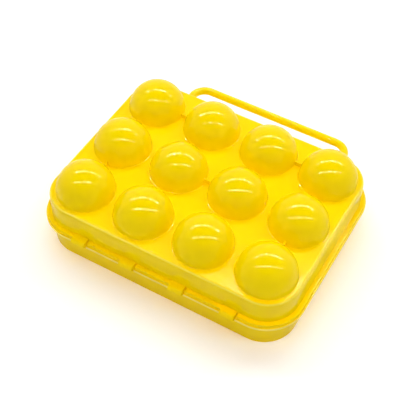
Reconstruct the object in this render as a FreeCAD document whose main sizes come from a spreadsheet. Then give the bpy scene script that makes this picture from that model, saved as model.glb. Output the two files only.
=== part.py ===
import FreeCAD, Part
import math
import os

import Sketcher

# A hinged carrier for twelve eggs: a base tray with twelve cups, a lid with twelve domes that
# turns on four pins at the front, two clip latches at the back of the lid, and a bail handle.
# X runs along the hinge, -Y is the hinge side, +Y the handle side, Z is up from the table.

doc = FreeCAD.newDocument("egg_carrier")

# Driving dimensions, in millimetres, and the lid's opening in degrees.
driving = {
    # egg grid
    "egg_pitch": 47.5,
    "cup_gap": 2.1,
    "dome_gap": 5.1,
    # base tray
    "cup_wall": 1.4,
    "cup_rim": 0.7,
    "cup_floor_gap": 0.6,
    "cup_side_gap": 0.9,
    "base_wall": 1.6,
    "base_wall_lean": 0.6,
    "base_wall_inset": 4.1,
    "base_deck": 1.6,
    "foot_rounding": 0.6,
    "flange_corner": 29.0,
    "flange_thickness": 2.0,
    "flange_rounding": 0.5,
    "upstand_height": 2.0,
    "upstand_thickness": 1.4,
    "upstand_clearance": 0.35,
    # lid
    "lid_height": 21.0,
    "lip_inset": 0.9,
    "lip_height": 2.6,
    "lip_rounding": 0.8,
    "lid_wall_inset": 4.2,
    "lid_wall_lean": 0.4,
    "lid_wall": 1.6,
    "lid_plate": 1.6,
    "rim_rounding": 2.0,
    "dome_flare": 0.8,
    "dome_wall": 1.3,
    "web_thickness": 1.0,
    "web_height": 3.6,
    # lid hinge
    "hinge_spacing": 39.3,
    "hinge_block_length": 10.6,
    "hinge_lug_length": 3.4,
    "hinge_side_gap": 0.35,
    "hinge_slot": 1.0,
    "hinge_barrel_radius": 1.9,
    "hinge_hood_gap": 0.3,
    "hinge_hood_wall": 1.0,
    "hinge_axis_inset": 0.4,
    "hinge_axis_rise": 0.4,
    "hinge_swing_clearance": 0.8,
    "hinge_pin_radius": 0.9,
    "lid_opening": 140.0,
    # latches
    "latch_spacing": 72.0,
    "latch_width": 12.0,
    "latch_lug_length": 2.6,
    "latch_side_gap": 0.3,
    "latch_axis_inset": 0.8,
    "latch_barrel_radius": 2.0,
    "latch_barrel_gap": 0.3,
    "latch_pin_radius": 0.9,
    "latch_plate": 1.8,
    "latch_plate_gap": 0.4,
    "latch_catch_gap": 0.3,
    "latch_catch_depth": 0.9,
    "latch_catch_height": 1.2,
    "latch_catch_ramp": 1.6,
    "latch_skirt": 2.4,
    "latch_thumb_drop": 2.5,
    "latch_thumb_reach": 3.2,
    "latch_release_gap": 0.5,
    # carry handle
    "handle_width": 132.0,
    "handle_reach": 25.6,
    "handle_rod": 6.0,
    "handle_bend": 11.0,
    "handle_axis_reach": 3.8,
    "handle_axis_drop": 1.0,
    "handle_side_gap": 0.4,
    "ear_thickness": 3.5,
    "ear_radius": 3.4,
    "trunnion_radius": 2.0,
    "trunnion_end": 0.5,
    # fits and joins
    "pin_seat_clearance": 0.02,
    "pin_running_clearance": 0.06,
    "trunnion_clearance": 0.08,
    "join_bite": 0.5,
    "cut_overrun": 1.0,
}

dome_rows = 3
dome_columns = 4
hinge_count = 4

# Places and sizes worked out from the driving dimensions.
worked_out = {
    # egg grid
    "grid_left": f"{(1 - dome_columns) / 2} * Sizes.egg_pitch",
    "grid_front": f"{(1 - dome_rows) / 2} * Sizes.egg_pitch",
    "cup_radius": "(Sizes.egg_pitch - Sizes.cup_gap) / 2",
    "dome_radius": "(Sizes.egg_pitch - Sizes.dome_gap) / 2",
    # flange and heights: the skirt goes round the cups, and the flange round the skirt
    "foot_margin": "cup_radius + Sizes.cup_side_gap + Sizes.base_wall",
    "flange_margin": "foot_margin + Sizes.base_wall_lean + Sizes.base_wall_inset",
    "flange_length": f"{dome_columns - 1} * Sizes.egg_pitch + 2 * flange_margin",
    "flange_width": f"{dome_rows - 1} * Sizes.egg_pitch + 2 * flange_margin",
    "flange_edge": "flange_width / 2",
    "base_height": "Sizes.cup_floor_gap + cup_radius + Sizes.cup_rim",
    "flange_under": "base_height - Sizes.flange_thickness",
    "deck_under": "base_height - Sizes.base_deck",
    "plate_top": "base_height + Sizes.lid_height",
    "plate_under": "plate_top - Sizes.lid_plate",
    "ledge_top": "base_height + Sizes.lip_height",
    # base skirt, outside and inside, at the deck and at the foot
    "skirt_length": "flange_length - 2 * Sizes.base_wall_inset",
    "skirt_width": "flange_width - 2 * Sizes.base_wall_inset",
    "skirt_corner": "Sizes.flange_corner - Sizes.base_wall_inset",
    "foot_length": "skirt_length - 2 * Sizes.base_wall_lean",
    "foot_width": "skirt_width - 2 * Sizes.base_wall_lean",
    "foot_corner": "skirt_corner - Sizes.base_wall_lean",
    "skirt_inner_length": "skirt_length - 2 * Sizes.base_wall",
    "skirt_inner_width": "skirt_width - 2 * Sizes.base_wall",
    "skirt_inner_corner": "skirt_corner - Sizes.base_wall",
    "foot_inner_length": "foot_length - 2 * Sizes.base_wall",
    "foot_inner_width": "foot_width - 2 * Sizes.base_wall",
    "foot_inner_corner": "foot_corner - Sizes.base_wall",
    # cups
    "cup_bore": "cup_radius - Sizes.cup_wall",
    "cup_centre": "Sizes.cup_floor_gap + cup_radius",
    "cup_bottom": "Sizes.cup_floor_gap",
    "cup_floor": "cup_bottom + Sizes.cup_wall",
    "cup_mouth": "base_height + Sizes.cut_overrun",
    # lid wall, outside and inside, at the seam and at the plate
    "lip_length": "flange_length - 2 * Sizes.lip_inset",
    "lip_width": "flange_width - 2 * Sizes.lip_inset",
    "lip_corner": "Sizes.flange_corner - Sizes.lip_inset",
    "wall_length": "flange_length - 2 * Sizes.lid_wall_inset",
    "wall_width": "flange_width - 2 * Sizes.lid_wall_inset",
    "wall_corner": "Sizes.flange_corner - Sizes.lid_wall_inset",
    "rim_length": "wall_length - 2 * Sizes.lid_wall_lean",
    "rim_width": "wall_width - 2 * Sizes.lid_wall_lean",
    "rim_corner": "wall_corner - Sizes.lid_wall_lean",
    "wall_inner_length": "wall_length - 2 * Sizes.lid_wall",
    "wall_inner_width": "wall_width - 2 * Sizes.lid_wall",
    "wall_inner_corner": "wall_corner - Sizes.lid_wall",
    "rim_inner_length": "rim_length - 2 * Sizes.lid_wall",
    "rim_inner_width": "rim_width - 2 * Sizes.lid_wall",
    "rim_inner_corner": "rim_corner - Sizes.lid_wall",
    # locating upstand of the base, inside the lid wall
    "upstand_length": "wall_inner_length - 2 * Sizes.upstand_clearance",
    "upstand_width": "wall_inner_width - 2 * Sizes.upstand_clearance",
    "upstand_corner": "wall_inner_corner - Sizes.upstand_clearance",
    "upstand_inner_length": "upstand_length - 2 * Sizes.upstand_thickness",
    "upstand_inner_width": "upstand_width - 2 * Sizes.upstand_thickness",
    "upstand_inner_corner": "upstand_corner - Sizes.upstand_thickness",
    # domes: the flare arc is tangent to the sphere and to the plate
    "dome_bore": "dome_radius - Sizes.dome_wall",
    "dome_top": "plate_top + dome_radius",
    "dome_crown": "plate_top + dome_bore",
    "flare_reach": "sqrt((dome_radius + Sizes.dome_flare) ^ 2 - Sizes.dome_flare ^ 2)",
    "flare_centre": "plate_top + Sizes.dome_flare",
    "flare_meet_share": "dome_radius / (dome_radius + Sizes.dome_flare)",
    "flare_meet": "flare_reach * flare_meet_share",
    "flare_meet_top": "plate_top + Sizes.dome_flare * flare_meet_share",
    "dome_root": "plate_top - Sizes.lid_plate / 2",
    "dome_mouth": "plate_under - Sizes.cut_overrun",
    # small webs that tie neighbouring domes
    "web_span": "Sizes.egg_pitch - 2 * dome_radius + 2 * Sizes.join_bite",
    # lid hinge, at the front edge of the flange
    "hinge_left": f"{(1 - hinge_count) / 2} * Sizes.hinge_spacing",
    "hinge_y": "Sizes.hinge_axis_inset - flange_edge",
    "hinge_z": "base_height + Sizes.hinge_axis_rise",
    "hinge_clear_back": "hinge_y + Sizes.hinge_barrel_radius + Sizes.hinge_swing_clearance",
    "hinge_clear_front": "-flange_edge - Sizes.cut_overrun",
    "block_left": "hinge_left - Sizes.hinge_block_length / 2",
    "block_right": "hinge_left + Sizes.hinge_block_length / 2",
    "notch_left": "block_left - Sizes.hinge_side_gap",
    "notch_right": "block_right + Sizes.hinge_side_gap",
    "slot_right": "block_right + Sizes.hinge_slot",
    "slot_back": "Sizes.lid_wall_inset - Sizes.hinge_side_gap - flange_edge",
    # hood of the lid over the base's lug; it ends where the open lid meets the lug's root
    "hood_bore": "Sizes.hinge_barrel_radius + Sizes.hinge_hood_gap",
    "hood_radius": "hood_bore + Sizes.hinge_hood_wall",
    "hood_top": "hinge_z + hood_radius",
    "hood_bottom": "hinge_z + Sizes.hinge_hood_gap",
    "hood_nose": "hinge_y - sqrt(hood_radius ^ 2 - Sizes.hinge_hood_gap ^ 2)",
    "hood_root": "Sizes.lid_wall_inset + Sizes.join_bite - flange_edge",
    "hood_room": "Sizes.hinge_lug_length + 2 * Sizes.hinge_side_gap",
    "hood_room_left": "hinge_left - hood_room / 2",
    "lug_left": "hinge_left - Sizes.hinge_lug_length / 2",
    "lug_neck": "hinge_y + Sizes.hinge_pin_radius",
    "lug_toe": "hinge_y + (hinge_z - flange_under) / tan(180 - Sizes.lid_opening)",
    "lug_heel": "lug_toe + Sizes.join_bite",
    "hinge_seat_radius": "Sizes.hinge_pin_radius + Sizes.pin_seat_clearance",
    "hinge_bore_radius": "Sizes.hinge_pin_radius + Sizes.pin_running_clearance",
    # latches, at the back edge of the lid
    "latch_y": "flange_edge - Sizes.latch_axis_inset",
    "latch_z": "ledge_top + Sizes.latch_barrel_gap + Sizes.latch_barrel_radius",
    "latch_top": "latch_z + Sizes.latch_barrel_radius",
    "latch_bottom": "latch_z - Sizes.latch_barrel_radius",
    "latch_root": "flange_edge - Sizes.lid_wall_inset - Sizes.join_bite",
    "latch_lug_foot": "ledge_top - Sizes.join_bite",
    "latch_left": "-Sizes.latch_spacing / 2 - Sizes.latch_width / 2",
    "latch_lug_left": "latch_left - Sizes.latch_side_gap - Sizes.latch_lug_length",
    "latch_lug_step": "Sizes.latch_width + 2 * Sizes.latch_side_gap + Sizes.latch_lug_length",
    "latch_pin_length": "latch_lug_step + Sizes.latch_lug_length",
    "latch_seat_radius": "Sizes.latch_pin_radius + Sizes.pin_seat_clearance",
    "latch_bore_radius": "Sizes.latch_pin_radius + Sizes.pin_running_clearance",
    # latch outline, measured from its own axis
    "flap_inner": "Sizes.latch_axis_inset + Sizes.latch_plate_gap",
    "flap_outer": "flap_inner + Sizes.latch_plate",
    "flap_neck": "-sqrt(Sizes.latch_barrel_radius ^ 2 - flap_inner ^ 2)",
    "flap_shoulder": "Sizes.latch_barrel_radius - flap_outer",
    "catch_tip": "Sizes.latch_axis_inset - Sizes.latch_catch_depth",
    "catch_top": "flange_under - Sizes.latch_catch_gap - latch_z",
    "catch_bottom": "catch_top - Sizes.latch_catch_height",
    "catch_heel": "catch_bottom - Sizes.latch_catch_ramp",
    "flap_bottom": "catch_heel - Sizes.latch_skirt",
    "thumb_bottom": "flap_bottom - Sizes.latch_thumb_drop",
    "thumb_inner": "flap_inner + Sizes.latch_thumb_reach",
    "thumb_outer": "flap_outer + Sizes.latch_thumb_reach",
    "catch_radius": "sqrt(catch_tip ^ 2 + catch_top ^ 2)",
    "release_angle": "asin((Sizes.latch_axis_inset + Sizes.latch_release_gap) / catch_radius)"
    " + atan(catch_tip / catch_top)",
    # carry handle, at the back edge of the flange
    "handle_half": "Sizes.handle_width / 2",
    "handle_y": "flange_edge + Sizes.handle_axis_reach",
    "handle_z": "base_height - Sizes.handle_axis_drop",
    "handle_bar": "flange_edge + Sizes.handle_reach",
    "handle_turn": "handle_bar - Sizes.handle_bend",
    "handle_inner": "handle_half - Sizes.handle_bend",
    "rod_radius": "Sizes.handle_rod / 2",
    "eye_left": "-handle_half - rod_radius",
    "eye_right": "handle_half - rod_radius",
    "ear_right": "eye_right - Sizes.handle_side_gap - Sizes.ear_thickness",
    "ear_left": "-ear_right - Sizes.ear_thickness",
    "ear_step": "ear_right - ear_left",
    "ear_bottom": "handle_z - Sizes.ear_radius",
    "ear_shoulder": "handle_y - sqrt(Sizes.ear_radius ^ 2 - Sizes.handle_axis_drop ^ 2)",
    "ear_root": "flange_edge - Sizes.base_wall_inset - Sizes.join_bite",
    "ear_bore": "Sizes.trunnion_radius + Sizes.trunnion_clearance",
    "trunnion_length": "Sizes.handle_side_gap + Sizes.ear_thickness + Sizes.trunnion_end",
    "trunnion_right": "eye_right - trunnion_length",
    "trunnion_left": "-eye_right",
}

sizes = doc.addObject("Spreadsheet::Sheet", "Sizes")
for row, (name, value) in enumerate(driving.items(), 1):
    sizes.set(f"A{row}", name)
    sizes.set(f"B{row}", str(value))
    sizes.setAlias(f"B{row}", name)

places = doc.addObject("Spreadsheet::Sheet", "Places")
for row, (name, formula) in enumerate(worked_out.items(), 1):
    places.set(f"A{row}", name)
    places.setAlias(f"B{row}", name)
    places.set(f"B{row}", f"={formula}")
doc.recompute()


def cell(name):
    """The expression that reads a named value, with its sign."""
    sign = "-" if name.startswith("-") else ""
    word = name.lstrip("-")
    sheet = "Sizes" if word in driving else "Places"
    return f"{sign}{sheet}.{word}"


def number(name):
    """A named value as a number, with its sign. The name zero is the origin."""
    if name == "zero":
        return 0.0
    word = name.lstrip("-")
    sheet = sizes if word in driving else places
    value = float(sheet.get(word))
    return -value if name.startswith("-") else value


def origin(body, role):
    return next(item for item in body.Origin.OriginFeatures if item.Role == role)


def new_body(label):
    body = doc.addObject("PartDesign::Body", label)
    body.Label = label
    return body


def new_sketch(body, name, role, offset=None):
    """A sketch on one of the body's own origin planes, moved along the plane's normal."""
    sketch = body.newObject("Sketcher::SketchObject", name)
    sketch.AttachmentSupport = [(origin(body, role), "")]
    sketch.MapMode = "FlatFace"
    if offset:
        sketch.setExpression("AttachmentOffset.Base.z", cell(offset))
    return sketch


def bind(sketch, constraint, expression):
    """Adds a dimension and ties it to an expression of named values."""
    index = sketch.addConstraint(constraint)
    sketch.setExpression(f"Constraints[{index}]", expression)


def place_point(sketch, geometry, end, x_name, y_name, across=True, along=True):
    """Ties a point of the sketch to its named coordinates, or to one of them; zero lies on the axis."""
    x_axis, y_axis, root, root_point = -1, -2, -1, 1
    wanted = [("DistanceX", x_name, y_axis, across), ("DistanceY", y_name, x_axis, along)]
    for kind, name, axis, needed in wanted:
        if not needed:
            continue
        if name == "zero":
            sketch.addConstraint(Sketcher.Constraint("PointOnObject", geometry, end, axis))
        else:
            distance = Sketcher.Constraint(kind, root, root_point, geometry, end, number(name))
            bind(sketch, distance, cell(name))


def vector(x_name, y_name):
    return FreeCAD.Vector(number(x_name), number(y_name), 0)


def draw_outline(sketch, points, arcs=None, closed=True):
    """Lines through the named points in order. arcs gives, for the run that leaves a point, the
    names of its centre, and +1 for anticlockwise or -1 for clockwise."""
    arcs = arcs or {}
    count = len(points)
    runs = count if closed else count - 1
    ends = []
    for index in range(runs):
        start = vector(*points[index])
        finish = vector(*points[(index + 1) % count])
        if index in arcs:
            centre_names, turn = arcs[index]
            centre = vector(*centre_names)
            first = math.atan2(start.y - centre.y, start.x - centre.x)
            last = math.atan2(finish.y - centre.y, finish.x - centre.x)
            sweep = turn * ((turn * (last - first)) % (2 * math.pi))
            middle_angle = first + sweep / 2
            spoke = FreeCAD.Vector(math.cos(middle_angle), math.sin(middle_angle), 0)
            middle = centre + spoke * (start - centre).Length
            line = sketch.addGeometry(Part.Arc(start, middle, finish), False)
            upright = abs(finish.y - start.y) > abs(finish.x - start.x)
            place_point(sketch, line, 3, *centre_names, across=upright, along=not upright)
            ends.append((line, 1, 2) if turn > 0 else (line, 2, 1))
        else:
            line = sketch.addGeometry(Part.LineSegment(start, finish), False)
            ends.append((line, 1, 2))
    for index, (line, first_end, last_end) in enumerate(ends):
        place_point(sketch, line, first_end, *points[index])
        following = ends[(index + 1) % len(ends)]
        if closed or index + 1 < len(ends):
            sketch.addConstraint(
                Sketcher.Constraint("Coincident", line, last_end, following[0], following[1])
            )
    if not closed:
        line, first_end, last_end = ends[-1]
        place_point(sketch, line, last_end, *points[-1])


def draw_circle(sketch, x_name, y_name, radius_name):
    circle = Part.Circle(vector(x_name, y_name), FreeCAD.Vector(0, 0, 1), number(radius_name))
    line = sketch.addGeometry(circle, False)
    place_point(sketch, line, 3, x_name, y_name)
    bind(sketch, Sketcher.Constraint("Radius", line, number(radius_name)), cell(radius_name))


def draw_rounded_rectangle(sketch, length_name, width_name, corner_name):
    """A rectangle with round corners, centred on the origin."""
    half_x = number(length_name) / 2
    half_y = number(width_name) / 2
    corner = number(corner_name)
    flat_x = half_x - corner
    flat_y = half_y - corner
    up = FreeCAD.Vector(0, 0, 1)
    quarter = math.pi / 2
    sides = [
        ((-flat_x, -half_y), (flat_x, -half_y), (flat_x, -flat_y), -quarter),
        ((half_x, -flat_y), (half_x, flat_y), (flat_x, flat_y), 0),
        ((flat_x, half_y), (-flat_x, half_y), (-flat_x, flat_y), quarter),
        ((-half_x, flat_y), (-half_x, -flat_y), (-flat_x, -flat_y), 2 * quarter),
    ]
    for start, finish, centre, angle in sides:
        sketch.addGeometry(Part.LineSegment(FreeCAD.Vector(*start, 0), FreeCAD.Vector(*finish, 0)), False)
        circle = Part.Circle(FreeCAD.Vector(*centre, 0), up, corner)
        sketch.addGeometry(Part.ArcOfCircle(circle, angle, angle + quarter), False)
    bottom, right, top, left = 0, 2, 4, 6
    for line in range(0, 8):
        sketch.addConstraint(Sketcher.Constraint("Tangent", line, 2, (line + 1) % 8, 1))
    for line in (bottom, top):
        sketch.addConstraint(Sketcher.Constraint("Horizontal", line))
    for line in (right, left):
        sketch.addConstraint(Sketcher.Constraint("Vertical", line))
    for arc in (3, 5):
        sketch.addConstraint(Sketcher.Constraint("Equal", 1, arc))
    sketch.addConstraint(Sketcher.Constraint("Symmetric", 1, 3, 5, 3, -1, 1))
    bind(sketch, Sketcher.Constraint("DistanceX", left, 1, right, 1, 2 * half_x), cell(length_name))
    bind(sketch, Sketcher.Constraint("DistanceY", bottom, 1, top, 1, 2 * half_y), cell(width_name))
    bind(sketch, Sketcher.Constraint("Radius", 1, corner), cell(corner_name))


def draw_web(sketch, share_x, share_y, length_name, width_name):
    """A small rectangle on the plate, with its middle at shares of the egg pitch."""
    length = number(length_name)
    width = number(width_name)
    left = share_x * number("egg_pitch") - length / 2
    front = share_y * number("egg_pitch") - width / 2
    corners = [(left, front), (left + length, front), (left + length, front + width), (left, front + width)]
    points = [FreeCAD.Vector(x, y, 0) for x, y in corners]
    lines = [
        sketch.addGeometry(Part.LineSegment(start, finish), False)
        for start, finish in zip(points, points[1:] + points[:1])
    ]
    bottom, right, top, left_side = lines
    for line, following in zip(lines, lines[1:] + lines[:1]):
        sketch.addConstraint(Sketcher.Constraint("Coincident", line, 2, following, 1))
    for line in (bottom, top):
        sketch.addConstraint(Sketcher.Constraint("Horizontal", line))
    for line in (right, left_side):
        sketch.addConstraint(Sketcher.Constraint("Vertical", line))
    bind(sketch, Sketcher.Constraint("DistanceX", bottom, 1, bottom, 2, length), cell(length_name))
    bind(sketch, Sketcher.Constraint("DistanceY", right, 1, right, 2, width), cell(width_name))
    across = f"{share_x} * Sizes.egg_pitch - {cell(length_name)} / 2"
    along = f"{share_y} * Sizes.egg_pitch - {cell(width_name)} / 2"
    bind(sketch, Sketcher.Constraint("DistanceX", -1, 1, bottom, 1, left), across)
    bind(sketch, Sketcher.Constraint("DistanceY", -1, 1, bottom, 1, front), along)


def rounded_sketch(body, name, offset, length_name, width_name, corner_name):
    sketch = new_sketch(body, name, "XY_Plane", offset)
    draw_rounded_rectangle(sketch, length_name, width_name, corner_name)
    return sketch


def check_cut(feature):
    """A cut that points away from the solid removes nothing."""
    if not feature.Shape.Volume < feature.BaseFeature.Shape.Volume:
        raise RuntimeError(f"{feature.Name} cuts nothing")


def extrude(body, kind, name, sketch, length_name, reverse=False):
    """A Pad or a Pocket, along the sketch's normal unless reversed."""
    feature = body.newObject(f"PartDesign::{kind}", name)
    feature.Profile = sketch
    feature.setExpression("Length", cell(length_name))
    feature.Reversed = reverse != (kind == "Pocket")
    doc.recompute()
    if kind == "Pocket":
        check_cut(feature)
    return feature


def loft(body, kind, name, first, second):
    feature = body.newObject(f"PartDesign::{kind}Loft", name)
    feature.Profile = first
    feature.Sections = [second]
    feature.Ruled = True
    doc.recompute()
    if kind == "Subtractive":
        check_cut(feature)
    return feature


def revolve(body, kind, name, sketch):
    """A full turn about the sketch's own upright construction line."""
    feature = body.newObject(f"PartDesign::{kind}", name)
    feature.Profile = sketch
    feature.ReferenceAxis = (sketch, ["V_Axis"])
    feature.Angle = 360
    doc.recompute()
    if kind == "Groove":
        check_cut(feature)
    return feature


def repeat(body, name, features, count, step_name, second=None):
    """Copies features along X, and along a second axis where it is given."""
    pattern = body.newObject("PartDesign::LinearPattern", name)
    pattern.Originals = features
    pattern.Direction = (origin(body, "X_Axis"), [""])
    pattern.setExpression("Length", f"{count - 1} * {cell(step_name)}")
    pattern.Occurrences = count
    if second:
        second_role, second_count, second_step = second
        pattern.Direction2 = (origin(body, second_role), [""])
        pattern.setExpression("Length2", f"{second_count - 1} * {cell(second_step)}")
        pattern.Occurrences2 = second_count
    body.Tip = pattern
    doc.recompute()
    return pattern


def outer_edges_at(feature, height):
    """Names of the edges of the longest flat loop at a height."""
    near = 0.001
    flat = [
        (f"Edge{index}", edge)
        for index, edge in enumerate(feature.Shape.Edges, 1)
        if abs(edge.BoundBox.ZMin - height) < near and abs(edge.BoundBox.ZMax - height) < near
    ]
    loops = Part.sortEdges([edge for name, edge in flat])
    outer = max(loops, key=lambda loop: sum(edge.Length for edge in loop))
    return [name for name, edge in flat if any(edge.isSame(part) for part in outer)]


def round_edges(body, name, feature, edges, radius_name):
    fillet = body.newObject("PartDesign::Fillet", name)
    fillet.Base = (feature, edges)
    fillet.setExpression("Radius", cell(radius_name))
    doc.recompute()
    return fillet


def grid_sketch(body, name):
    """An upright sketch through the first egg place, so that its own upright axis is the egg's."""
    sketch = new_sketch(body, name, "XZ_Plane")
    sketch.setExpression("AttachmentOffset.Base.x", cell("grid_left"))
    sketch.setExpression("AttachmentOffset.Base.z", cell("-grid_front"))
    return sketch


def repeat_on_grid(body, name, features):
    rows = ("Y_Axis", dome_rows, "egg_pitch")
    return repeat(body, name, features, dome_columns, "egg_pitch", second=rows)


def bar_sketch(body, name, left_name):
    """A sketch across the long way, for outlines that run along X from a named place."""
    return new_sketch(body, name, "YZ_Plane", left_name)


def make_base():
    body = new_body("base_tray")

    # Flange and leaning skirt, one block before it is hollowed.
    flange_outline = rounded_sketch(
        body, "flange_outline", "flange_under", "flange_length", "flange_width", "flange_corner"
    )
    flange = extrude(body, "Pad", "flange", flange_outline, "flange_thickness")
    top_edge = outer_edges_at(flange, number("base_height"))
    round_edges(body, "flange_edge_rounding", flange, top_edge, "flange_rounding")
    foot = rounded_sketch(body, "foot_outline", None, "foot_length", "foot_width", "foot_corner")
    skirt_top = rounded_sketch(
        body, "skirt_outline", "base_height", "skirt_length", "skirt_width", "skirt_corner"
    )
    skirt = loft(body, "Additive", "skirt", foot, skirt_top)
    foot_edge = outer_edges_at(skirt, 0.0)
    round_edges(body, "foot_edge_rounding", skirt, foot_edge, "foot_rounding")

    # Open underside, up to the deck.
    foot_inner = rounded_sketch(
        body, "foot_inner", None, "foot_inner_length", "foot_inner_width", "foot_inner_corner"
    )
    deck_under = rounded_sketch(
        body, "deck_under", "deck_under", "skirt_inner_length", "skirt_inner_width", "skirt_inner_corner"
    )
    loft(body, "Subtractive", "underside", foot_inner, deck_under)

    # Twelve cups hang from the deck.
    cup_outline = grid_sketch(body, "cup_outline")
    draw_outline(
        cup_outline,
        [
            ("zero", "cup_bottom"),
            ("cup_radius", "cup_centre"),
            ("cup_radius", "base_height"),
            ("zero", "base_height"),
        ],
        {0: (("zero", "cup_centre"), 1)},
    )
    cup = revolve(body, "Revolution", "cup", cup_outline)
    repeat_on_grid(body, "cups", [cup])
    bore_outline = grid_sketch(body, "cup_bore_outline")
    draw_outline(
        bore_outline,
        [
            ("zero", "cup_floor"),
            ("cup_bore", "cup_centre"),
            ("cup_bore", "cup_mouth"),
            ("zero", "cup_mouth"),
        ],
        {0: (("zero", "cup_centre"), 1)},
    )
    bore = revolve(body, "Groove", "cup_hollow", bore_outline)
    repeat_on_grid(body, "cup_hollows", [bore])

    # Upstand on the deck that locates the lid wall.
    ring = new_sketch(body, "upstand_outline", "XY_Plane", "base_height")
    draw_rounded_rectangle(ring, "upstand_length", "upstand_width", "upstand_corner")
    extrude(body, "Pad", "upstand", ring, "upstand_height")
    well = new_sketch(body, "upstand_well_outline", "XY_Plane", "base_height")
    draw_rounded_rectangle(well, "upstand_inner_length", "upstand_inner_width", "upstand_inner_corner")
    extrude(body, "Pocket", "upstand_well", well, "upstand_height")

    # Four hinge lugs, each in a notch of the flange that takes the lid's knuckles.
    notch_outline = new_sketch(body, "hinge_notch_outline", "XY_Plane", "flange_under")
    draw_outline(
        notch_outline,
        [
            ("notch_left", "hinge_clear_front"),
            ("notch_right", "hinge_clear_front"),
            ("notch_right", "hinge_clear_back"),
            ("notch_left", "hinge_clear_back"),
        ],
    )
    notch = extrude(body, "Pocket", "hinge_notch", notch_outline, "flange_thickness")
    lug_outline = bar_sketch(body, "hinge_lug_outline", "lug_left")
    draw_circle(lug_outline, "hinge_y", "hinge_z", "hinge_barrel_radius")
    lug = extrude(body, "Pad", "hinge_lug", lug_outline, "hinge_lug_length")
    root_outline = bar_sketch(body, "hinge_root_outline", "lug_left")
    draw_outline(
        root_outline,
        [
            ("hinge_y", "hinge_z"),
            ("lug_toe", "flange_under"),
            ("lug_heel", "flange_under"),
            ("lug_heel", "base_height"),
            ("lug_neck", "base_height"),
        ],
    )
    root = extrude(body, "Pad", "hinge_root", root_outline, "hinge_lug_length")
    seat_outline = bar_sketch(body, "hinge_seat_outline", "lug_left")
    draw_circle(seat_outline, "hinge_y", "hinge_z", "hinge_seat_radius")
    seat = extrude(body, "Pocket", "hinge_seat", seat_outline, "hinge_lug_length")
    repeat(body, "hinge_stations", [notch, lug, root, seat], hinge_count, "hinge_spacing")

    # Two ears for the handle's trunnions.
    ear_outline = bar_sketch(body, "ear_outline", "ear_left")
    draw_outline(
        ear_outline,
        [
            ("ear_root", "ear_bottom"),
            ("handle_y", "ear_bottom"),
            ("ear_shoulder", "base_height"),
            ("ear_root", "base_height"),
        ],
        {1: (("handle_y", "handle_z"), 1)},
    )
    draw_circle(ear_outline, "handle_y", "handle_z", "ear_bore")
    ear = extrude(body, "Pad", "ear", ear_outline, "ear_thickness")
    repeat(body, "ears", [ear], 2, "ear_step")
    return body


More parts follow.
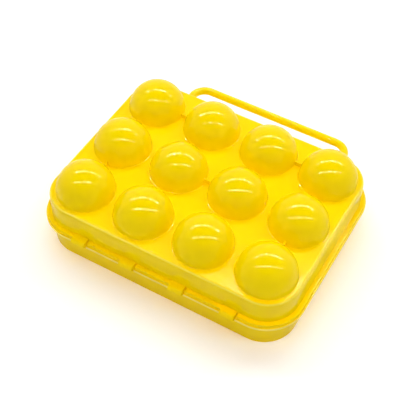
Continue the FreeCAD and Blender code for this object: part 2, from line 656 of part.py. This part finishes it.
def make_lid():
    body = new_body("lid")

    # Lip, leaning wall and plate, one block before it is hollowed.
    lip_outline = rounded_sketch(
        body, "lip_outline", "base_height", "lip_length", "lip_width", "lip_corner"
    )
    lip = extrude(body, "Pad", "lip", lip_outline, "lip_height")
    lip_edge = outer_edges_at(lip, number("ledge_top"))
    round_edges(body, "lip_edge_rounding", lip, lip_edge, "lip_rounding")
    wall_foot = rounded_sketch(
        body, "wall_outline", "base_height", "wall_length", "wall_width", "wall_corner"
    )
    rim = rounded_sketch(body, "rim_outline", "plate_top", "rim_length", "rim_width", "rim_corner")
    wall = loft(body, "Additive", "wall", wall_foot, rim)
    rim_edge = outer_edges_at(wall, number("plate_top"))
    round_edges(body, "rim_edge_rounding", wall, rim_edge, "rim_rounding")

    # Twelve domes, each with a small flare where it meets the plate.
    dome_outline = grid_sketch(body, "dome_outline")
    draw_outline(
        dome_outline,
        [
            ("zero", "dome_root"),
            ("flare_reach", "dome_root"),
            ("flare_reach", "plate_top"),
            ("flare_meet", "flare_meet_top"),
            ("zero", "dome_top"),
        ],
        {
            2: (("flare_reach", "flare_centre"), -1),
            3: (("zero", "plate_top"), 1),
        },
    )
    dome = revolve(body, "Revolution", "dome", dome_outline)
    repeat_on_grid(body, "domes", [dome])

    # Small webs between five pairs of domes, standing on the plate.
    web_outline = new_sketch(body, "web_outline", "XY_Plane", "plate_top")
    along_x_shares = [(-1, 1), (1, 1), (0, 0)]
    along_y_shares = [(-1.5, -0.5), (1.5, -0.5)]
    for share_x, share_y in along_x_shares:
        draw_web(web_outline, share_x, share_y, "web_span", "web_thickness")
    for share_x, share_y in along_y_shares:
        draw_web(web_outline, share_x, share_y, "web_thickness", "web_span")
    extrude(body, "Pad", "webs", web_outline, "web_height")

    # Hollow inside: the tray space under the plate and the twelve dome hollows.
    wall_inner = rounded_sketch(
        body, "wall_inner", "base_height", "wall_inner_length", "wall_inner_width", "wall_inner_corner"
    )
    plate_under = rounded_sketch(
        body, "plate_under", "plate_under", "rim_inner_length", "rim_inner_width", "rim_inner_corner"
    )
    loft(body, "Subtractive", "tray_space", wall_inner, plate_under)
    hollow_outline = grid_sketch(body, "dome_hollow_outline")
    draw_outline(
        hollow_outline,
        [
            ("zero", "dome_mouth"),
            ("dome_bore", "dome_mouth"),
            ("dome_bore", "plate_top"),
            ("zero", "dome_crown"),
        ],
        {2: (("zero", "plate_top"), 1)},
    )
    hollow = revolve(body, "Groove", "dome_hollow", hollow_outline)
    repeat_on_grid(body, "dome_hollows", [hollow])

    # Four hinge hoods over the lip, with a knuckle at each end and room for the base's lug between.
    hood_outline = bar_sketch(body, "hood_outline", "block_left")
    draw_outline(
        hood_outline,
        [
            ("hinge_y", "hood_top"),
            ("hood_nose", "hood_bottom"),
            ("hood_root", "hood_bottom"),
            ("hood_root", "hood_top"),
        ],
        {0: (("hinge_y", "hinge_z"), 1)},
    )
    hood = extrude(body, "Pad", "hood", hood_outline, "hinge_block_length")
    knuckle_outline = bar_sketch(body, "knuckle_outline", "block_left")
    draw_circle(knuckle_outline, "hinge_y", "hinge_z", "hinge_barrel_radius")
    knuckles = extrude(body, "Pad", "knuckles", knuckle_outline, "hinge_block_length")
    room_outline = bar_sketch(body, "hood_room_outline", "hood_room_left")
    draw_circle(room_outline, "hinge_y", "hinge_z", "hood_bore")
    room = extrude(body, "Pocket", "hood_room", room_outline, "hood_room")
    pin_outline = bar_sketch(body, "hinge_bore_outline", "block_left")
    draw_circle(pin_outline, "hinge_y", "hinge_z", "hinge_bore_radius")
    pin_bore = extrude(body, "Pocket", "hinge_bore", pin_outline, "hinge_block_length")
    slot_outline = new_sketch(body, "hinge_slot_outline", "XY_Plane", "base_height")
    draw_outline(
        slot_outline,
        [
            ("block_right", "hinge_clear_front"),
            ("slot_right", "hinge_clear_front"),
            ("slot_right", "slot_back"),
            ("block_right", "slot_back"),
        ],
    )
    slot = extrude(body, "Pocket", "hinge_slot", slot_outline, "lip_height")
    repeat(body, "hinge_stations", [hood, knuckles, room, pin_bore, slot], hinge_count, "hinge_spacing")

    # Two pairs of latch lugs on the ledge at the back.
    lug_outline = bar_sketch(body, "latch_lug_outline", "latch_lug_left")
    draw_outline(
        lug_outline,
        [
            ("latch_root", "latch_lug_foot"),
            ("latch_y", "latch_lug_foot"),
            ("latch_y", "latch_bottom"),
            ("latch_y", "latch_top"),
            ("latch_root", "latch_top"),
        ],
        {2: (("latch_y", "latch_z"), 1)},
    )
    draw_circle(lug_outline, "latch_y", "latch_z", "latch_seat_radius")
    lug = extrude(body, "Pad", "latch_lug", lug_outline, "latch_lug_length")
    pairs = ("X_Axis", 2, "latch_spacing")
    repeat(body, "latch_lugs", [lug], 2, "latch_lug_step", second=pairs)
    return body


def make_handle():
    body = new_body("carry_handle")
    path = new_sketch(body, "handle_path", "XY_Plane", "handle_z")
    draw_outline(
        path,
        [
            ("handle_half", "handle_y"),
            ("handle_half", "handle_turn"),
            ("handle_inner", "handle_bar"),
            ("-handle_inner", "handle_bar"),
            ("-handle_half", "handle_turn"),
            ("-handle_half", "handle_y"),
        ],
        {
            1: (("handle_inner", "handle_turn"), 1),
            3: (("-handle_inner", "handle_turn"), 1),
        },
        closed=False,
    )
    section = new_sketch(body, "rod_section", "XZ_Plane", "-handle_y")
    draw_circle(section, "handle_half", "handle_z", "rod_radius")
    rod = body.newObject("PartDesign::AdditivePipe", "rod")
    rod.Profile = section
    rod.Spine = path
    doc.recompute()

    # Round eyes at the ends of the legs, with trunnions that point inwards.
    for side, eye_place, trunnion_place in (
        ("left", "eye_left", "trunnion_left"),
        ("right", "eye_right", "trunnion_right"),
    ):
        eye_outline = bar_sketch(body, f"eye_outline_{side}", eye_place)
        draw_circle(eye_outline, "handle_y", "handle_z", "ear_radius")
        extrude(body, "Pad", f"eye_{side}", eye_outline, "handle_rod")
        trunnion_outline = bar_sketch(body, f"trunnion_outline_{side}", trunnion_place)
        draw_circle(trunnion_outline, "handle_y", "handle_z", "trunnion_radius")
        extrude(body, "Pad", f"trunnion_{side}", trunnion_outline, "trunnion_length")
    return body


def make_latch(label, centre_share):
    """A clip that hangs on its pin; it stands a few degrees off the catch."""
    body = new_body(label)
    outline = new_sketch(body, f"{label}_outline", "YZ_Plane")
    draw_outline(
        outline,
        [
            ("zero", "latch_barrel_radius"),
            ("flap_inner", "flap_neck"),
            ("flap_inner", "catch_top"),
            ("catch_tip", "catch_top"),
            ("catch_tip", "catch_bottom"),
            ("flap_inner", "catch_heel"),
            ("flap_inner", "flap_bottom"),
            ("thumb_inner", "thumb_bottom"),
            ("thumb_outer", "thumb_bottom"),
            ("flap_outer", "flap_bottom"),
            ("flap_outer", "flap_shoulder"),
        ],
        {
            0: (("zero", "zero"), 1),
            10: (("zero", "flap_shoulder"), 1),
        },
    )
    draw_circle(outline, "zero", "zero", "latch_bore_radius")
    extrude(body, "Pad", f"{label}_flap", outline, "latch_width")
    turn = FreeCAD.Rotation(FreeCAD.Vector(1, 0, 0), number("release_angle"))
    body.Placement = FreeCAD.Placement(FreeCAD.Vector(), turn)
    body.setExpression("Placement.Base.x", f"{centre_share} * Sizes.latch_spacing - Sizes.latch_width / 2")
    body.setExpression("Placement.Base.y", cell("latch_y"))
    body.setExpression("Placement.Base.z", cell("latch_z"))
    return body


def make_pin(label, radius_name, length_name, middle, y_name, z_name):
    """A plain round pin along X, with its middle at the given expression."""
    pin = doc.addObject("Part::Cylinder", label)
    pin.Label = label
    pin.setExpression("Radius", cell(radius_name))
    pin.setExpression("Height", cell(length_name))
    along_x = FreeCAD.Rotation(FreeCAD.Vector(0, 1, 0), 90)
    pin.Placement = FreeCAD.Placement(FreeCAD.Vector(), along_x)
    pin.setExpression("Placement.Base.x", f"{middle} - {cell(length_name)} / 2")
    pin.setExpression("Placement.Base.y", cell(y_name))
    pin.setExpression("Placement.Base.z", cell(z_name))
    return pin


parts = [make_base(), make_lid(), make_handle()]
for side, centre_share in (("left", -0.5), ("right", 0.5)):
    parts.append(make_latch(f"latch_{side}", centre_share))
    label = f"latch_pin_{side}"
    middle = f"{centre_share} * Sizes.latch_spacing"
    parts.append(make_pin(label, "latch_pin_radius", "latch_pin_length", middle, "latch_y", "latch_z"))
for station in range(hinge_count):
    label = f"hinge_pin_{station + 1}"
    middle = f"Places.hinge_left + {station} * Sizes.hinge_spacing"
    parts.append(make_pin(label, "hinge_pin_radius", "hinge_block_length", middle, "hinge_y", "hinge_z"))
doc.recompute()

failed = [item.Name for item in doc.Objects if "Invalid" in item.State or "Error" in item.State]
if failed:
    raise RuntimeError(f"these objects failed: {failed}")
for part in parts:
    if part.Shape.isNull() or not part.Shape.isValid():
        raise RuntimeError(f"{part.Label} has no valid shape")
    if len(part.Shape.Solids) != 1:
        raise RuntimeError(f"{part.Label} has {len(part.Shape.Solids)} solids")

os.makedirs("parts", exist_ok=True)
for part in parts:
    part.Shape.exportStep(f"parts/{part.Label}.step")
    box = part.Shape.optimalBoundingBox(True, False)
    print(
        f"{part.Label}: {part.Shape.Volume / 1000:.2f} cm3,"
        f" {box.XLength:.1f} x {box.YLength:.1f} x {box.ZLength:.1f} mm"
    )
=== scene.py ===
import math

import bpy
from mathutils import Matrix, Vector

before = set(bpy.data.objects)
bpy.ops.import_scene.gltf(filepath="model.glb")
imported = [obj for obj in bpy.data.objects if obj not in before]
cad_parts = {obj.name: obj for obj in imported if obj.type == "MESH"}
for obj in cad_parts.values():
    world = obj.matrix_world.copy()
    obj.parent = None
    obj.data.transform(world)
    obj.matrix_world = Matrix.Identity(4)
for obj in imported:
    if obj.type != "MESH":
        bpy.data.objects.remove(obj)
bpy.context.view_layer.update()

mm = 0.001
scene = bpy.context.scene
scene.view_settings.view_transform = "Standard"


def linear(hexColour):  # sRGB hex to a linear colour
    parts = [int(hexColour[i:i + 2], 16) / 255 for i in (1, 3, 5)]
    return tuple(p / 12.92 if p <= 0.04045 else ((p + 0.055) / 1.055) ** 2.4 for p in parts) + (1.0,)


def addNode(tree, kind, settings=None, links=None):
    node = tree.nodes.new(kind)
    for key, value in (settings or {}).items():
        if isinstance(key, int) or key in node.inputs:
            node.inputs[key].default_value = value
        else:
            setattr(node, key, value)
    for key, source in (links or {}).items():
        tree.links.new(source, node.inputs[key])
    return node


def newMaterial(name):
    material = bpy.data.materials.new(name)
    material.use_nodes = True
    material.node_tree.nodes.clear()
    return material, material.node_tree


# Polypropylene, injection moulded in a polished tool: a saturated, slightly see-through yellow
# with a waxy gloss, faint flow marks in the colour and fine handling scuffs in the gloss.
mouldedYellow = {
    "colour": "#F6D800",
    "flowColour": "#FAE000",
    "flowSize": 22.0,  # mm, slow change of colour along the melt's flow
    "flowDetail": 2.0,
    "flowRoughness": 0.4,
    "bounceColour": "#FFE800",  # a yellow this pure stays yellow from bounce to bounce
    "throughColour": "#FFE600",
    "through": 0.08,  # share of light that the thin wall lets through
    "shadeColour": "#E1C200",  # lamplight that passes a face into the shade behind it
    "ior": 1.49,
    "shine": 0.12,
    "sheen": "#FFF4C4",  # the gloss is warmed by the pigment just under the skin
    "roughLow": 0.06,
    "roughHigh": 0.12,
    "scuffSize": 3.0,  # mm
    "scuffDetail": 6.0,
    "scuffRoughness": 0.65,
    "scuffFrom": 0.35,  # noise at which the gloss starts to dull
    "scuffTo": 0.7,  # noise at which it is dullest
    "edgeRound": 0.35,  # mm, the tool's small edge radius
    "edgeSamples": 6,
    "waveSize": 6.0,  # mm, sink and cooling waves that bend a highlight
    "waveDetail": 1.0,
    "waveHeight": 0.045,  # mm
    "grainSize": 0.9,  # mm, drawn coarser than the tool's polish so that it shows
    "grainDetail": 2.0,
    "grainHeight": 0.0012,  # mm
}

# Painted light on the thin wall's outer edges: a pale line painted along the flange's outer face, and a
# painted highlight along the lid's rounded top edge.
flangePaintedLight = {
    "colour": "#FFF08C",
    "share": 0.5,
    "low": 22.0,  # mm above the table
    "high": 24.0,
    "core": (72.15, 48.4),  # mm, centres of the corner arcs
    "reach": 28.5,  # mm out from there
    "tilt": 0.0,  # how far the face looks up, as the sine of its slope
    "spread": 0.8,
}
# A painted highlight all round the lid's rounded top edge, on the faces that slope upwards.
lidRimPaintedHighlight = {
    "colour": "#FFEC58",
    "share": 0.7,
    "low": 43.3,
    "high": 45.0,
    "core": (0.0, 0.0),
    "reach": -0.001,  # below zero, so all the way round
    "tilt": 0.72,
    "spread": 0.2,
}


# Mask of the outer faces where a band of light is painted.
def paintedLightMask(tree, place, paintedBand):  # 1 on the outer edge that the band describes
    height = addNode(tree, "ShaderNodeSeparateXYZ", links={"Vector": place}).outputs["Z"]
    above = addNode(
        tree, "ShaderNodeMath",
        {"operation": "GREATER_THAN", 1: paintedBand["low"] * mm},
        {0: height},
    )
    below = addNode(
        tree, "ShaderNodeMath",
        {"operation": "LESS_THAN", 1: paintedBand["high"] * mm},
        {0: height},
    )

    folded = addNode(tree, "ShaderNodeVectorMath", {"operation": "ABSOLUTE"}, {0: place})
    wellAbove = 1.0  # m, takes the height out of the distance
    core = (paintedBand["core"][0] * mm, paintedBand["core"][1] * mm, wellAbove)
    past = addNode(
        tree, "ShaderNodeVectorMath",
        {"operation": "SUBTRACT", 1: core},
        {0: folded.outputs["Vector"]},
    )
    out = addNode(tree, "ShaderNodeVectorMath", {"operation": "MAXIMUM"}, {0: past.outputs["Vector"]})
    far = addNode(tree, "ShaderNodeVectorMath", {"operation": "LENGTH"}, {0: out.outputs["Vector"]})
    outer = addNode(
        tree, "ShaderNodeMath",
        {"operation": "GREATER_THAN", 1: paintedBand["reach"] * mm},
        {0: far.outputs["Value"]},
    )

    normal = addNode(tree, "ShaderNodeTexCoord").outputs["Normal"]
    lookUp = addNode(tree, "ShaderNodeSeparateXYZ", links={"Vector": normal})
    mask = addNode(
        tree, "ShaderNodeMath",
        {"operation": "COMPARE", 1: paintedBand["tilt"], 2: paintedBand["spread"]},
        {0: lookUp.outputs["Z"]},
    )
    for other in (above, below, outer):
        mask = addNode(
            tree, "ShaderNodeMath",
            {"operation": "MULTIPLY"},
            {0: mask.outputs["Value"], 1: other.outputs["Value"]},
        )
    return mask.outputs["Value"]


def mouldedPolypropylene(name, look, paintedBand=None):
    material, tree = newMaterial(name)
    place = addNode(tree, "ShaderNodeTexCoord").outputs["Object"]
    rays = addNode(tree, "ShaderNodeLightPath")

    flow = addNode(
        tree, "ShaderNodeTexNoise",
        {
            "Scale": 1 / (look["flowSize"] * mm),
            "Detail": look["flowDetail"],
            "Roughness": look["flowRoughness"],
        },
        {"Vector": place},
    )
    pigment = addNode(
        tree, "ShaderNodeMix",
        {"data_type": "RGBA", 6: linear(look["colour"]), 7: linear(look["flowColour"])},
        {"Factor": flow.outputs["Fac"]},
    )
    colour = pigment.outputs[2]
    # Painted light: the colour turns paler where the band's mask is 1.
    if paintedBand:
        mask = paintedLightMask(tree, place, paintedBand)
        share = addNode(tree, "ShaderNodeMath", {"operation": "MULTIPLY", 1: paintedBand["share"]}, {0: mask})
        paintedLight = addNode(
            tree, "ShaderNodeMix",
            {"data_type": "RGBA", 7: linear(paintedBand["colour"])},
            {"Factor": share.outputs["Value"], 6: colour},
        )
        colour = paintedLight.outputs[2]
    bounce = addNode(
        tree, "ShaderNodeMix",
        {"data_type": "RGBA", 7: linear(look["bounceColour"])},
        {"Factor": rays.outputs["Is Diffuse Ray"], 6: colour},
    )

    scuff = addNode(
        tree, "ShaderNodeTexNoise",
        {
            "Scale": 1 / (look["scuffSize"] * mm),
            "Detail": look["scuffDetail"],
            "Roughness": look["scuffRoughness"],
        },
        {"Vector": place},
    )
    gloss = addNode(
        tree, "ShaderNodeMapRange",
        {
            "From Min": look["scuffFrom"],
            "From Max": look["scuffTo"],
            "To Min": look["roughLow"],
            "To Max": look["roughHigh"],
        },
        {"Value": scuff.outputs["Fac"]},
    )

    rounded = addNode(
        tree, "ShaderNodeBevel",
        {"samples": look["edgeSamples"], "Radius": look["edgeRound"] * mm},
    )
    wave = addNode(
        tree, "ShaderNodeTexNoise",
        {"Scale": 1 / (look["waveSize"] * mm), "Detail": look["waveDetail"]},
        {"Vector": place},
    )
    waveBump = addNode(
        tree, "ShaderNodeBump",
        {"Strength": 1.0, "Distance": look["waveHeight"] * mm},
        {"Height": wave.outputs["Fac"], "Normal": rounded.outputs["Normal"]},
    )
    grain = addNode(
        tree, "ShaderNodeTexNoise",
        {"Scale": 1 / (look["grainSize"] * mm), "Detail": look["grainDetail"]},
        {"Vector": place},
    )
    grainBump = addNode(
        tree, "ShaderNodeBump",
        {"Strength": 1.0, "Distance": look["grainHeight"] * mm},
        {"Height": grain.outputs["Fac"], "Normal": waveBump.outputs["Normal"]},
    )

    skin = addNode(
        tree, "ShaderNodeBsdfPrincipled",
        {
            "IOR": look["ior"],
            "Specular IOR Level": look["shine"],
            "Specular Tint": linear(look["sheen"]),
        },
        {
            "Base Color": bounce.outputs[2],
            "Roughness": gloss.outputs["Result"],
            "Normal": grainBump.outputs["Normal"],
        },
    )
    glow = addNode(tree, "ShaderNodeBsdfTranslucent", {"Color": linear(look["throughColour"])})
    wall = addNode(
        tree, "ShaderNodeMixShader",
        {"Fac": look["through"]},
        {1: skin.outputs["BSDF"], 2: glow.outputs["BSDF"]},
    )
    clear = addNode(tree, "ShaderNodeBsdfTransparent", {"Color": linear(look["shadeColour"])})
    tinted = addNode(
        tree, "ShaderNodeMixShader",
        links={"Fac": rays.outputs["Is Shadow Ray"], 1: wall.outputs["Shader"], 2: clear.outputs["BSDF"]},
    )
    addNode(tree, "ShaderNodeOutputMaterial", links={"Surface": tinted.outputs["Shader"]})
    return material


def dressNodes():
    plain = mouldedPolypropylene("moulded_polypropylene_yellow", mouldedYellow)
    # The tray and the lid carry the painted light bands on their edges.
    finishes = {
        "base_tray": mouldedPolypropylene("moulded_polypropylene_yellow_tray", mouldedYellow, flangePaintedLight),
        "lid": mouldedPolypropylene("moulded_polypropylene_yellow_lid", mouldedYellow, lidRimPaintedHighlight),
    }
    for name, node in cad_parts.items():
        node.data.materials.clear()
        node.data.materials.append(finishes.get(name, plain))


dressNodes()
print("finishes set")


def showsBackdrop(tree, rays):  # 1 for the rays that should meet a white backdrop
    shows = rays.outputs["Is Camera Ray"]
    for kind in ("Is Glossy Ray", "Is Transmission Ray"):
        either = addNode(
            tree, "ShaderNodeMath",
            {"operation": "MAXIMUM"},
            {0: shows, 1: rays.outputs[kind]},
        )
        shows = either.outputs["Value"]
    return shows


# A white sweep under and round the carrier.
floorLook = {
    "colour": "#F6F6F4",
    "seen": 1.06,  # the board as the camera sees it, so that it is white there
    "size": 6.0,  # m
    "fadeFrom": 0.22,  # m from the carrier, where its shadow has ended
    "fadeTo": 0.6,
    "bare": 1.0,  # white, beyond the shadow
}


def makeFloor():
    half = floorLook["size"] / 2
    corners = [(-half, -half, 0), (half, -half, 0), (half, half, 0), (-half, half, 0)]
    mesh = bpy.data.meshes.new("floor")
    mesh.from_pydata(corners, [], [(0, 1, 2, 3)])
    floor = bpy.data.objects.new("floor", mesh)
    scene.collection.objects.link(floor)
    material, tree = newMaterial("painted_white_board")
    rays = addNode(tree, "ShaderNodeLightPath")
    white = addNode(
        tree, "ShaderNodeMix",
        {"data_type": "RGBA", 6: linear(floorLook["colour"]), 7: (floorLook["seen"],) * 3 + (1.0,)},
        {"Factor": rays.outputs["Is Camera Ray"]},
    )
    paper = addNode(tree, "ShaderNodeBsdfDiffuse", links={"Color": white.outputs[2]})
    spot = addNode(tree, "ShaderNodeNewGeometry").outputs["Position"]
    reach = addNode(tree, "ShaderNodeVectorMath", {"operation": "LENGTH"}, {0: spot})
    fade = addNode(
        tree, "ShaderNodeMapRange",
        {
            "interpolation_type": "SMOOTHSTEP",
            "From Min": floorLook["fadeFrom"],
            "From Max": floorLook["fadeTo"],
        },
        {"Value": reach.outputs["Value"]},
    )
    share = addNode(
        tree, "ShaderNodeMath",
        {"operation": "MULTIPLY"},
        {0: fade.outputs["Result"], 1: showsBackdrop(tree, rays)},
    )
    bare = addNode(tree, "ShaderNodeEmission", {"Strength": floorLook["bare"]})
    board = addNode(
        tree, "ShaderNodeMixShader",
        links={"Fac": share.outputs["Value"], 1: paper.outputs["BSDF"], 2: bare.outputs["Emission"]},
    )
    addNode(tree, "ShaderNodeOutputMaterial", links={"Surface": board.outputs["Shader"]})
    mesh.materials.append(material)


makeFloor()
print("floor set")

# A light tent: pale walls, a dimmer ceiling, two strip lamps under the ceiling.
tent = {
    "wall": 0.54,
    "wallSeen": 1.0,  # white, as the backdrop
    "ceiling": 0.34,
    "ceilingSeen": 0.04,  # what gloss sees of the ceiling
    "wallTop": 0.73,  # sine of the elevation where the wall ends
    "wallBlend": 0.03,
}


def makeTent():
    world = bpy.data.worlds.new("light_tent")
    scene.world = world
    world.use_nodes = True
    tree = world.node_tree
    tree.nodes.clear()
    direction = addNode(tree, "ShaderNodeTexCoord").outputs["Generated"]
    height = addNode(tree, "ShaderNodeSeparateXYZ", links={"Vector": direction})
    above = addNode(
        tree, "ShaderNodeMapRange",
        {
            "From Min": tent["wallTop"] - tent["wallBlend"],
            "From Max": tent["wallTop"] + tent["wallBlend"],
        },
        {"Value": height.outputs["Z"]},
    )
    seen = showsBackdrop(tree, addNode(tree, "ShaderNodeLightPath"))
    ceiling = addNode(
        tree, "ShaderNodeMix",
        {"A": tent["ceiling"], "B": tent["ceilingSeen"]},
        {"Factor": seen},
    )
    wall = addNode(
        tree, "ShaderNodeMix",
        {"A": tent["wall"], "B": tent["wallSeen"]},
        {"Factor": seen},
    )
    level = addNode(
        tree, "ShaderNodeMix",
        links={
            "Factor": above.outputs["Result"],
            "A": wall.outputs["Result"],
            "B": ceiling.outputs["Result"],
        },
    )
    background = addNode(
        tree, "ShaderNodeBackground",
        {"Color": (1.0, 1.0, 1.0, 1.0)},
        {"Strength": level.outputs["Result"]},
    )
    addNode(tree, "ShaderNodeOutputWorld", links={"Surface": background.outputs["Background"]})


makeTent()

view = {
    "azimuth": 28.67,
    "elevation": 50.66,
    "roll": 1.34,
    "place": (200.5 * mm, -365.7 * mm, 526.7 * mm),
    "focal": 901.3,  # pixels of the 416 pixel frame
    "frame": 416,
    "sensor": 36.0,  # mm
    "nearest": 0.01,  # m
    "farthest": 20.0,
}
azimuth = math.radians(view["azimuth"])
elevation = math.radians(view["elevation"])
towards = Vector((math.sin(azimuth), -math.cos(azimuth), 0))  # from the carrier to the camera, level
across = Vector((math.cos(azimuth), math.sin(azimuth), 0))  # to the right in the picture
upward = Vector((0, 0, 1))

strips = {
    "front": {"back": 0.261, "right": 0.088, "up": 0.961, "power": 16.0},
    "rear": {"back": -0.483, "right": 0.06, "up": 0.846, "power": 28.0},
}
stripSize = {"length": 4.0, "width": 0.03, "distance": 2.0}  # m
stripGleam = 6.5  # what the gloss sees of a strip over what it lights


def makeStrip(name, strip, power, lights):
    lamp = bpy.data.lights.new(name, "AREA")
    lamp.shape = "RECTANGLE"
    lamp.size = stripSize["length"]
    lamp.size_y = stripSize["width"]
    lamp.energy = power
    direction = (towards * strip["back"] + across * strip["right"] + upward * strip["up"]).normalized()
    xAxis = (across - direction * across.dot(direction)).normalized()
    yAxis = direction.cross(xAxis)
    turn = Matrix((xAxis, yAxis, direction)).transposed().to_4x4()
    holder = bpy.data.objects.new(name, lamp)
    holder.matrix_world = Matrix.Translation(direction * stripSize["distance"]) @ turn
    holder.visible_camera = False
    holder.visible_diffuse = lights
    scene.collection.objects.link(holder)


for stripName, strip in strips.items():
    makeStrip(f"strip_lamp_{stripName}", strip, strip["power"], True)
    makeStrip(f"strip_gleam_{stripName}", strip, strip["power"] * stripGleam, False)
print("lights set")


def makeCamera():
    data = bpy.data.cameras.new("photo_camera")
    data.sensor_width = view["sensor"]
    data.lens = view["focal"] * view["sensor"] / view["frame"]
    data.clip_start = view["nearest"]
    data.clip_end = view["farthest"]
    camera = bpy.data.objects.new("photo_camera", data)
    scene.collection.objects.link(camera)
    back = towards * math.cos(elevation) + upward * math.sin(elevation)
    up = back.cross(across)
    roll = math.radians(view["roll"])
    xAxis = across * math.cos(roll) + up * math.sin(roll)
    yAxis = up * math.cos(roll) - across * math.sin(roll)
    turn = Matrix((xAxis, yAxis, back)).transposed().to_4x4()
    camera.matrix_world = Matrix.Translation(view["place"]) @ turn
    scene.camera = camera


makeCamera()
print("camera set")

bpy.context.view_layer.update()
